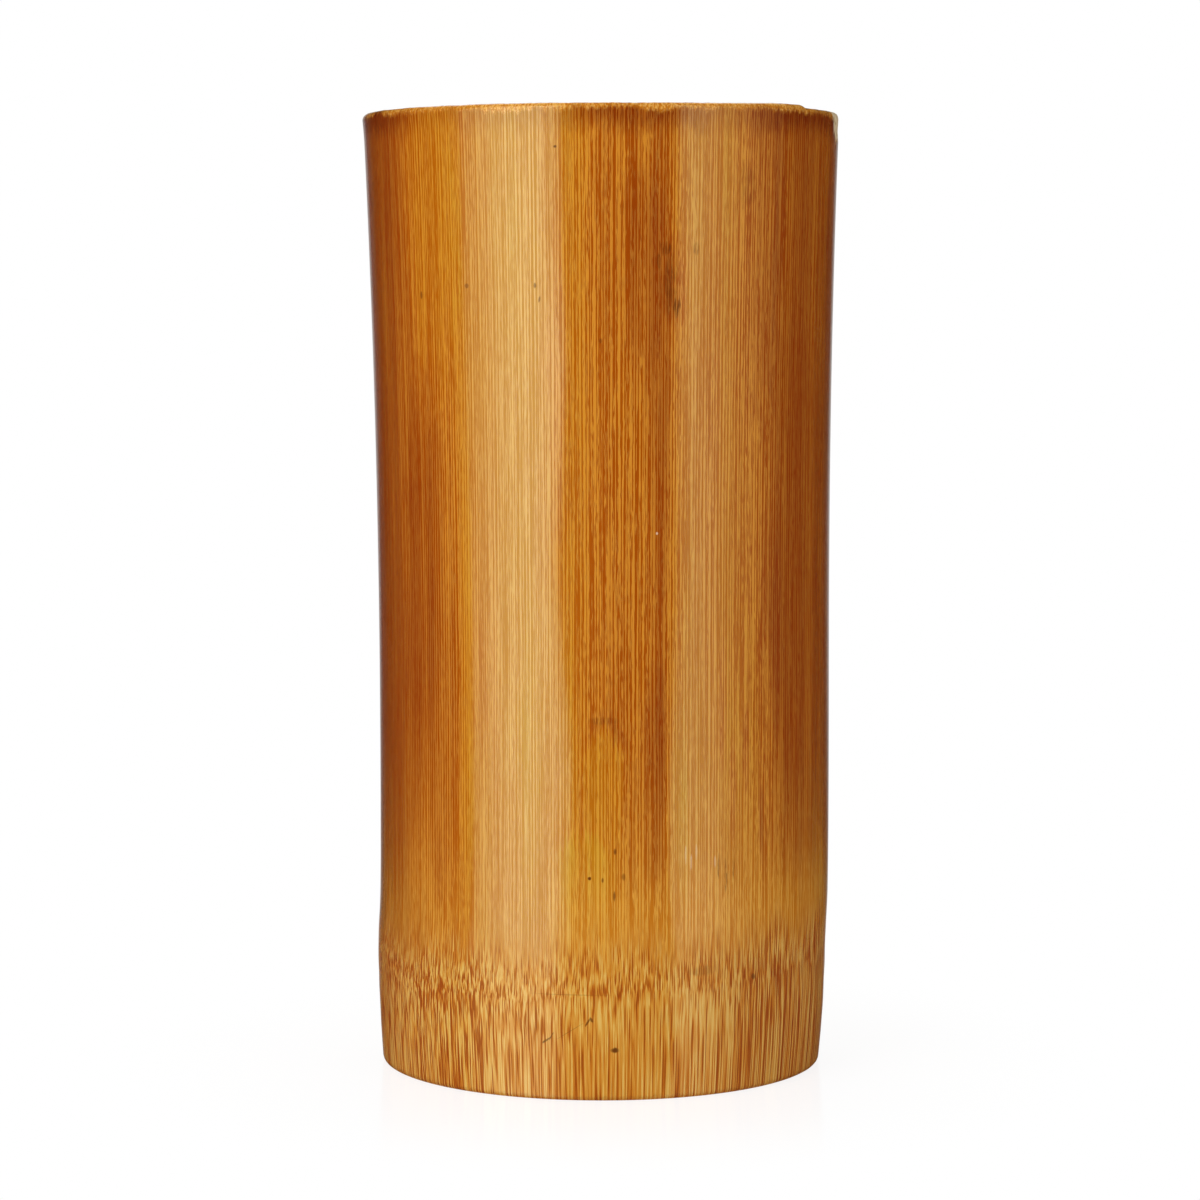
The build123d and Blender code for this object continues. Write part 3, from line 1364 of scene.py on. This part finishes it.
@dataclass
class LacqueredSkin(TurnedPiece):
    """The stained and lacquered outside, from the foot to the rim, chipped at the right of the rim."""

    fine_height: float = 26.0 * MM
    facet: float = 0.10 * MM
    shaved: float = 0.08 * MM
    ripple: float = 0.018 * MM
    node_bumps: float = 0.05 * MM
    node_swell: float = 0.16 * MM
    waves: tuple[Wave, ...] = (
        Wave(18.0, 30.0 * MM, 3.2 * MM, 16.0 * MM, 4.0),
        Wave(-36.0, 36.0 * MM, 3.2 * MM, 26.0 * MM, -3.0),
        Wave(-11.0, 83.0 * MM, 2.4 * MM, 7.0 * MM, -2.5),
        Wave(-10.0, 37.0 * MM, 2.6 * MM, 8.0 * MM, -3.0),
        Wave(-12.0, 60.0 * MM, 2.4 * MM, 7.0 * MM, 1.5),
    )
    node_middle: float = 10.5 * MM
    node_reach: float = 6.0 * MM
    swell_middle: float = 14.0 * MM
    swell_reach: float = 4.5 * MM
    chip_depth: float = 0.14 * MM
    chip_angle: float = 83.0
    chip_edges: Point = (10.0, 8.0)
    chip_drops: Point = (3.2 * MM, 2.6 * MM)
    node = "lacquered_skin"

    def section(self) -> list[Run]:
        """Set out the section.

        Returns:
            Its stretches, in order round it.
        """
        culm = self.culm
        top = culm.height - culm.rim_round
        rim = culm.rim_edge(0.0, culm.skin_end(culm.rim_round))
        foot = culm.foot_edge(-culm.skin_end(culm.foot_round), 0.0)
        back = wall_line(culm.under_skin, rim(1.0)[1], foot(0.0)[1])
        return [
            Run(foot(0.0), 4, Side.SHOWN, foot),
            Run(foot(1.0), 52, Side.SHOWN, wall_line(culm.outer, culm.foot_round, self.fine_height)),
            wall_run(culm.outer, self.fine_height, top, 64),
            Run(rim(0.0), 6, Side.SHOWN, rim),
            Run(rim(1.0), 12, Side.HIDDEN, back),
        ]

    def carved(self, place: Vector) -> Vector:
        """Cut the scraper's facets and waves, the bumps and swelling of the node, and the chip.

        Args:
            place: A place on the true piece.

        Returns:
            Where it lies after the cut.
        """
        culm = self.culm
        angle = angle_of(place)
        radius = math.hypot(place.x, place.y)
        height = place.z
        outside = smooth_step(culm.outer(height) - radius, culm.skin, 0.0)
        clear = smooth_step(height, culm.height, culm.height - 3.0 * MM)
        facets = self.facet * grain_noise(place, 9.0 * MM, 55.0 * MM)
        ripples = self.ripple * grain_noise(place, 2.2 * MM, 28.0 * MM, 4.0)
        near = math.exp(-abs(height - self.node_middle) / self.node_reach)
        bumps = self.node_bumps * near * grain_noise(place, 2.2 * MM, 2.6 * MM, 9.0)
        bulge = math.exp(-(((height - self.swell_middle) / self.swell_reach) ** 2))
        sideways = math.sin(angle)
        swell = self.node_swell * bulge * (max(-sideways, 0.0) - max(sideways, 0.0) ** 2)
        lifts = sum(wave.lift(angle, height, radius) for wave in self.waves)
        radius += outside * (clear * (facets + ripples + lifts - self.shaved) + bumps + swell)
        turn = math.degrees(angle) - self.chip_angle
        fray = 1.3 * noise.noise(Vector((turn * 0.4, height * 900.0, 2.5)))
        chip = smooth_step(abs(turn) + 2.5 * fray, *self.chip_edges)
        low, high = (culm.height - drop for drop in self.chip_drops)
        chip *= smooth_step(height + 0.5 * MM * fray, low, high)
        radius -= outside * self.chip_depth * chip
        return turned_to(angle, radius, height)


@dataclass
class CulmWall(TurnedPiece):
    """The fibrous wall above the node; its sawn end is the rim."""

    bare_height: float = 104.0 * MM
    saw_marks: float = 0.035 * MM
    node = "culm_wall"

    def section(self) -> list[Run]:
        """Set out the section.

        Returns:
            Its stretches, in order round it.
        """
        culm = self.culm
        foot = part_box(self.node)[0].z
        rim = culm.rim_edge(culm.skin_end(culm.rim_round), 0.5 * math.pi)
        return [
            wall_run(culm.under_skin, foot, self.bare_height, 8, Side.HIDDEN),
            wall_run(culm.under_skin, self.bare_height, rim(0.0)[1], 10),
            Run(rim(0.0), 5, Side.SHOWN, rim),
            Run(rim(1.0), 14, Side.SHOWN),
            wall_run(culm.over_lining, culm.height, foot, 10, Side.HIDDEN),
            Run((culm.over_lining(foot), foot), 1, Side.HIDDEN),
        ]

    def carved(self, place: Vector) -> Vector:
        """Cut the saw marks and pores of the rim.

        Args:
            place: A place on the true piece.

        Returns:
            Where it lies after the cut.
        """
        on_rim = smooth_step(place.z, self.culm.height - 0.4 * MM, self.culm.height - 0.05 * MM)
        sawn = noise.noise(Vector((place.x * 900.0, place.y * 120.0, 0.0)))
        pores = noise.noise(Vector((place.x * 1900.0, place.y * 1900.0, 3.0)))
        place.z -= on_rim * self.saw_marks * (1.0 + 0.6 * sawn + 0.8 * pores)
        return place


@dataclass
class InnerLining(TurnedPiece):
    """The thin pale layer on the pith side of the wall, inside the cup."""

    ribs: float = 0.05 * MM
    waves: float = 0.12 * MM
    node = "inner_lining"

    def section(self) -> list[Run]:
        """Set out the section.

        Returns:
            Its stretches, in order round it.
        """
        culm = self.culm
        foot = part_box(self.node)[0].z
        corner = culm.floor_corner(culm.floor_turn(foot), 0.0)
        top = culm.height - culm.rim_inner_round
        rim_centre = (culm.bore(top) + culm.rim_inner_round, top)
        rim = arc_line(rim_centre, culm.rim_inner_round, math.pi, 0.5 * math.pi)
        return [
            Run((culm.over_lining(foot), foot), 1, Side.HIDDEN),
            Run(corner(0.0), 8, Side.SHOWN, corner),
            Run(corner(1.0), 70, Side.SHOWN, wall_line(culm.bore, corner(1.0)[1], top)),
            Run(rim(0.0), 4, Side.SHOWN, rim),
            Run(rim(1.0), 1, Side.SHOWN),
            wall_run(culm.over_lining, culm.height, foot, 10, Side.HIDDEN),
        ]

    def carved(self, place: Vector) -> Vector:
        """Cut the waves and fine ribs of the pith side.

        Args:
            place: A place on the true piece.

        Returns:
            Where it lies after the cut.
        """
        culm = self.culm
        radius = math.hypot(place.x, place.y)
        inside = smooth_step(radius, culm.bore(place.z) + 0.3 * MM, culm.bore(place.z))
        clear = smooth_step(place.z, culm.height, culm.height - 4.0 * MM)
        clear *= smooth_step(place.z, 15.2 * MM, 20.0 * MM)
        waves = self.waves * grain_noise(place, 7.0 * MM, 30.0 * MM, 2.0)
        ribs = self.ribs * grain_noise(place, 1.3 * MM, 24.0 * MM, 6.0)
        return turned_to(angle_of(place), radius + inside * clear * (waves + ribs), place.z)


@dataclass
class FloorDiaphragm(TurnedPiece):
    """The natural septum that closes the culm, dished on top and ridged on both sides."""

    floor: float = 13.0 * MM
    dish_rise: float = 0.5 * MM
    ridges: float = 0.12 * MM
    lumps: float = 0.15 * MM
    dimple: float = 0.25 * MM
    node = "floor_diaphragm"
    closed = False

    def section(self) -> list[Run]:
        """Set out the section, which is open at the axis.

        Returns:
            Its stretches, in order from the middle of the top to the middle of the underside.
        """
        culm = self.culm
        low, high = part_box(self.node)
        flat = culm.floor_centre[0]
        corner = culm.floor_corner(-0.5 * math.pi, culm.floor_turn(high.z))

        def dish(share: float) -> Point:
            """The floor's top at a share of the way from its middle to its rounded corner."""
            lift = self.dish_rise * (share * flat / culm.bore(0.0)) ** 2
            return share * flat, self.floor + lift

        return [
            Run((0.0, self.floor), 40, Side.SHOWN, dish),
            Run(corner(0.0), 10, Side.SHOWN, corner),
            Run(corner(1.0), 1, Side.HIDDEN),
            wall_run(culm.seat, high.z, low.z, 2, Side.HIDDEN),
            Run((culm.seat(low.z), low.z), 1, Side.HIDDEN),
            Run((culm.recess(low.z), low.z), 44, Side.SHOWN),
            Run((0.0, low.z)),
        ]

    def carved(self, place: Vector) -> Vector:
        """Cut the rings, the lumps and the dimple in the middle.

        Args:
            place: A place on the true piece.

        Returns:
            Where it lies after the cut.
        """
        radius = math.hypot(place.x, place.y)
        clear = smooth_step(radius, 19.0 * MM, 15.0 * MM)
        spot = Vector((place.x, place.y, 0.0))
        wander = 2.0 * noise.noise(spot * 140.0)
        ring = math.sin(radius * 2300.0 + wander + 1.5 * math.sin(radius * 700.0))
        lump = noise.noise(spot * 220.0 + Vector((0.0, 0.0, place.z * 300.0)))
        middle = math.exp(-((radius / (2.2 * MM)) ** 2))
        ridges = self.ridges * ring * smooth_step(radius, 0.0, 4.0 * MM)
        place.z += clear * (ridges + self.lumps * lump - self.dimple * middle)
        return place


@dataclass
class RecessRing(TurnedPiece):
    """What the two rings round the hollow under the floor share: its rough wall."""

    roughness: float = 0.06 * MM

    def carved(self, place: Vector) -> Vector:
        """Roughen the wall of the hollow.

        Args:
            place: A place on the true piece.

        Returns:
            Where it lies after the cut.
        """
        radius = math.hypot(place.x, place.y)
        wall = self.culm.recess(place.z)
        inside = smooth_step(radius, wall + 0.5 * MM, wall)
        clear = smooth_step(place.z, 8.5 * MM, 7.5 * MM)
        lumps = grain_noise(place, 3.0 * MM, 9.0 * MM, 8.0)
        fibres = grain_noise(place, 0.9 * MM, 8.0 * MM, 1.0)
        rough = self.roughness * (lumps + 0.5 * fibres)
        return turned_to(angle_of(place), radius + inside * clear * rough, place.z)


@dataclass
class NodeRing(RecessRing):
    """The ring of swirled fibres at the node, which carries the diaphragm on a ledge."""

    node = "node_ring"

    def section(self) -> list[Run]:
        """Set out the section.

        Returns:
            Its stretches, in order round it.
        """
        culm = self.culm
        low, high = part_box(self.node)
        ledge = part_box("floor_diaphragm")[0].z
        return [
            wall_run(culm.under_skin, low.z, high.z, 6, Side.HIDDEN),
            Run((culm.under_skin(high.z), high.z), 1, Side.HIDDEN),
            wall_run(culm.seat, high.z, ledge, 3, Side.HIDDEN),
            Run((culm.seat(ledge), ledge), 1, Side.HIDDEN),
            wall_run(culm.recess, ledge, low.z, 10),
            Run((culm.recess(low.z), low.z), 1, Side.HIDDEN),
        ]


@dataclass
class FootRing(RecessRing):
    """The stub of the internode below, which the cup stands on."""

    saw_marks: float = 0.03 * MM
    node = "foot_ring"

    def section(self) -> list[Run]:
        """Set out the section.

        Returns:
            Its stretches, in order round it.
        """
        culm = self.culm
        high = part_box(self.node)[1].z
        outer = culm.foot_edge(-0.5 * math.pi, -culm.skin_end(culm.foot_round))
        inner_centre = (culm.recess(culm.foot_round) + culm.foot_round, culm.foot_round)
        inner = arc_line(inner_centre, culm.foot_round, -math.pi, -0.5 * math.pi)
        return [
            Run(outer(1.0), 4, Side.HIDDEN, wall_line(culm.under_skin, outer(1.0)[1], high)),
            Run((culm.under_skin(high), high), 1, Side.HIDDEN),
            wall_run(culm.recess, high, culm.foot_round, 10),
            Run(inner(0.0), 5, Side.SHOWN, inner),
            Run(inner(1.0), 18, Side.SHOWN),
            Run(outer(0.0), 3, Side.SHOWN, outer),
        ]

    def carved(self, place: Vector) -> Vector:
        """Cut the saw marks underneath, and roughen the wall of the hollow.

        Args:
            place: A place on the true piece.

        Returns:
            Where it lies after the cut.
        """
        underneath = smooth_step(place.z, 0.3 * MM, 0.02 * MM)
        sawn = noise.noise(Vector((place.x * 700.0, place.y * 110.0, 5.0)))
        place.z += underneath * self.saw_marks * (1.0 + sawn)
        return super().carved(place)


@dataclass(frozen=True)
class Softbox:
    """A large soft lamp that stands round the cup and faces it."""

    name: str
    angle: float
    distance: float
    low: float
    width: float
    height: float
    brightness: float
    tilt: float = 0.0
    fade: tuple[Point, ...] = ()

    def place(self) -> None:
        """Put the lamp in the scene."""
        lamp = bpy.data.lights.new(self.name, "AREA")
        lamp.shape = "RECTANGLE"
        lamp.size = self.width
        lamp.size_y = self.height
        lamp.energy = self.brightness * math.pi * self.width * self.height
        made = bpy.data.objects.new(self.name, lamp)
        bpy.context.collection.objects.link(made)
        made.location = turned_to(math.radians(self.angle), self.distance, self.low + 0.5 * self.height)
        made.rotation_euler = (math.radians(90.0 - self.tilt), 0.0, math.radians(self.angle))
        made.visible_camera = False
        if self.fade:
            self._grade(lamp)

    def _grade(self, lamp: bpy.types.AreaLight) -> None:
        """Fade the lamp across its width.

        Args:
            lamp: The lamp's own data.
        """
        lamp.use_nodes = True
        graph = Graph(lamp.node_tree)
        across = graph.node("ShaderNodeNewGeometry").outputs["Parametric"]
        share = Field(graph, graph.node("ShaderNodeSeparateXYZ", None, {0: across}).outputs[0])
        glow = graph.shader("Emission", {"Color": graph.level(share, self.fade)})
        graph.node("ShaderNodeOutputLight", None, {0: glow})


@dataclass
class Studio:
    """The pale floor, the soft lamps, the white surroundings and the camera."""

    lamps: tuple[Softbox, ...] = (
        Softbox(
            "left_softbox",
            angle=-48.0,
            distance=0.80,
            low=0.0,
            width=0.85,
            height=1.20,
            brightness=2.8,
            fade=(
                (0.0, 0.0), (0.08, 0.0), (0.12, 0.3), (0.3, 0.46), (0.467, 0.8),
                (0.6, 1.0), (0.77, 1.0), (0.88, 0.75), (1.0, 0.3),
            ),
        ),
        Softbox(
            "right_softbox",
            angle=68.0,
            distance=0.80,
            low=0.0,
            width=0.98,
            height=1.20,
            brightness=1.25,
            fade=(
                (0.0, 0.4), (0.08, 0.9), (0.16, 1.0), (0.26, 0.76),
                (0.38, 0.50), (0.52, 0.28), (0.72, 0.10), (1.0, 0.0),
            ),
        ),
        Softbox(
            "back_softbox",
            angle=180.0,
            distance=0.70,
            low=0.75,
            width=1.00,
            height=0.60,
            brightness=1.5,
            tilt=50.0,
        ),
    )
    floor_size: float = 6.0
    floor_tone: float = 0.8
    floor_bounce: float = 0.2
    floor_glow: float = 0.84
    floor_shadow: float = 0.12
    floor_shine: float = 0.16
    shine_roughness: float = 0.12
    mirror_roughness: float = 0.03
    shadow_reach: Point = (0.026, 0.062)
    fill: float = 0.47
    dim_side: float = 0.008
    backdrop_shine: float = 0.45
    backdrop_edges: Point = (22.0, 8.0)
    camera_place: Point = (-0.4252, 0.0871)
    camera_aim: float = 0.05368
    camera_side: float = -0.0003
    lens: float = 109.80
    sensor_width: float = 36.0
    clip_start: float = 0.01

    def build(self) -> None:
        """Set up the whole studio."""
        for lamp in self.lamps:
            lamp.place()
            log.info("lamp %s", lamp.name)
        self._floor()
        self._surroundings()
        self._camera()
        bpy.context.scene.view_settings.view_transform = "Standard"

    def _floor(self) -> None:
        """A polished white table top, plain white to the camera apart from the cup's shadow and shine."""
        mesh_maker = bmesh.new()
        bmesh.ops.create_grid(mesh_maker, x_segments=1, y_segments=1, size=0.5 * self.floor_size)
        mesh = bpy.data.meshes.new("table_top")
        mesh_maker.to_mesh(mesh)
        mesh_maker.free()
        floor = bpy.data.objects.new("table_top", mesh)
        bpy.context.collection.objects.link(floor)
        material = bpy.data.materials.new("polished_white_top")
        material.use_nodes = True
        self._dress_floor(Graph(material.node_tree))
        mesh.materials.append(material)

    def _dress_floor(self, graph: Graph) -> None:
        """Make the table top's shaders: for the camera, for the cup's gloss and for plain light.

        Args:
            graph: The nodes of its material.
        """
        path = graph.node("ShaderNodeLightPath").outputs
        under = graph.node("ShaderNodeNewGeometry").outputs["Backfacing"]
        place = graph.node("ShaderNodeTexCoord").outputs["Object"]
        length = graph.node("ShaderNodeVectorMath", {"operation": "LENGTH"}, {0: place})
        distance = Field(graph, length.outputs[1])
        plain = graph.shader("BsdfDiffuse", {"Color": grey(self.floor_tone)})
        plain = graph.both(plain, graph.shader("Emission", {"Strength": self.floor_bounce}))
        white = graph.shader("Emission", {"Strength": self.floor_glow})
        shaded = graph.shader("BsdfDiffuse", {"Color": grey(self.floor_shadow)})
        sockets = {"Color": grey(self.floor_shine), "Roughness": self.shine_roughness}
        shine = graph.shader("BsdfGlossy", sockets)
        near = graph.both(graph.both(white, shaded), shine)
        far = graph.shader("Emission", {"Strength": 1.0})
        seen = graph.either(distance.step(*self.shadow_reach), near, far)
        sockets = {"Color": grey(1.0), "Roughness": self.mirror_roughness}
        mirror = graph.shader("BsdfGlossy", sockets)
        other = graph.either(path["Is Glossy Ray"], plain, mirror)
        upper = graph.either(path["Is Camera Ray"], other, seen)
        shown = graph.either(under, upper, graph.shader("BsdfTransparent"))
        graph.node("ShaderNodeOutputMaterial", None, {0: shown})

    def _surroundings(self) -> None:
        """White to the camera, a soft fill on the cup, and a white backdrop in its gloss."""
        world = bpy.data.worlds.new("studio")
        bpy.context.scene.world = world
        world.use_nodes = True
        graph = Graph(world.node_tree)
        path = graph.node("ShaderNodeLightPath").outputs
        seen = Field(graph, path["Is Camera Ray"]).most(Field(graph, path["Is Transmission Ray"]))
        gloss = Field(graph, path["Is Glossy Ray"])
        direction = graph.node("ShaderNodeTexCoord").outputs["Generated"]
        parts = graph.node("ShaderNodeSeparateXYZ", None, {0: direction}).outputs
        edges = [math.cos(math.radians(edge)) for edge in self.backdrop_edges]
        behind = Field(graph, parts[1]).step(*edges)
        backdrop = self.dim_side + self.backdrop_shine * behind
        strength = seen + (1.0 - seen) * (gloss * backdrop + (1.0 - gloss) * self.fill)
        sky = graph.shader("Background", {"Color": grey(1.0), "Strength": strength})
        graph.node("ShaderNodeOutputWorld", None, {0: sky})

    def _camera(self) -> None:
        """The camera at the photo's place."""
        data = bpy.data.cameras.new("photo_camera")
        data.lens = self.lens
        data.sensor_width = self.sensor_width
        data.sensor_fit = "HORIZONTAL"
        data.clip_start = self.clip_start
        camera = bpy.data.objects.new("photo_camera", data)
        bpy.context.collection.objects.link(camera)
        away, up = self.camera_place
        camera.location = (self.camera_side, away, up)
        look = Vector((self.camera_side, 0.0, self.camera_aim)) - camera.location
        camera.rotation_euler = look.to_track_quat("-Z", "Y").to_euler()
        bpy.context.scene.camera = camera


def main() -> None:
    """Build the cup, piece by piece, and the studio round it."""
    culm = Culm(height=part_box("culm_wall")[1].z)
    sawn = SawnBamboo()
    pieces: tuple[TurnedPiece, ...] = (
        LacqueredSkin(culm, LacqueredBamboo()),
        CulmWall(culm, sawn),
        InnerLining(culm, PithLining()),
        FloorDiaphragm(culm, Septum()),
        NodeRing(culm, sawn),
        FootRing(culm, sawn),
    )
    for piece in pieces:
        made = piece.build()
        log.info("piece %s: %d faces", made.name, len(made.data.polygons))
    Studio().build()


if __name__ == "__main__":
    logging.basicConfig(level=logging.INFO, format="%(message)s")
    main()
